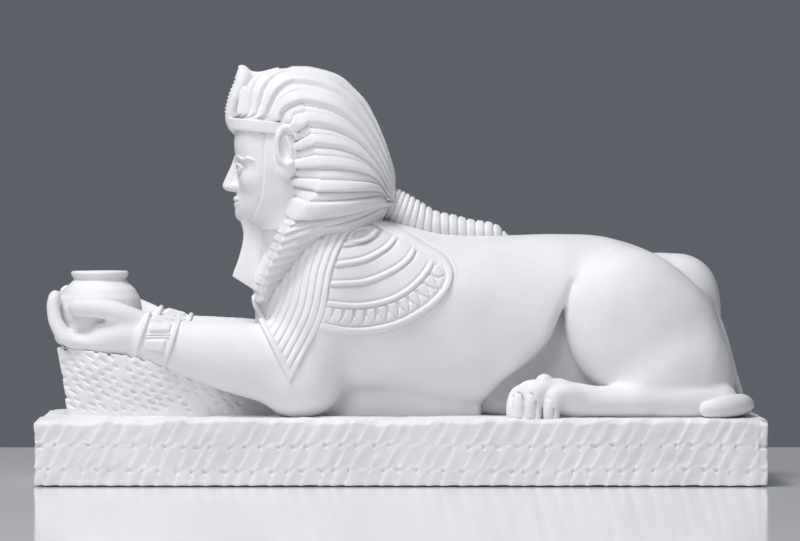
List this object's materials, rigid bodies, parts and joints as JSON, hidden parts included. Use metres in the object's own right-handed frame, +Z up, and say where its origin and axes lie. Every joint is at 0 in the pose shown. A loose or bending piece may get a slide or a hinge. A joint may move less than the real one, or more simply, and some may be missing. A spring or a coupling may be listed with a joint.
{
  "type": "sphinx_statue",
  "caption": "White reclining sphinx on a rough-hewn plinth, with a striped headcloth, cobra, beard and banded mane, holding out a round open jar in human hands.",
  "frame": {"origin": "middle of the plinth's underside", "axes": "+X from the face towards the tail, +Y to the figure's own right side, +Z up"},
  "size_m": [0.36, 0.115, 0.2076],
  "materials": {
    "sphinx_statue": "matt white casting plaster with a fine grain, small pinholes and rounded edges"
  },
  "bodies": {
    "root": {"sphinx_statue": "sphinx_statue"}
  },
  "joints": []
}
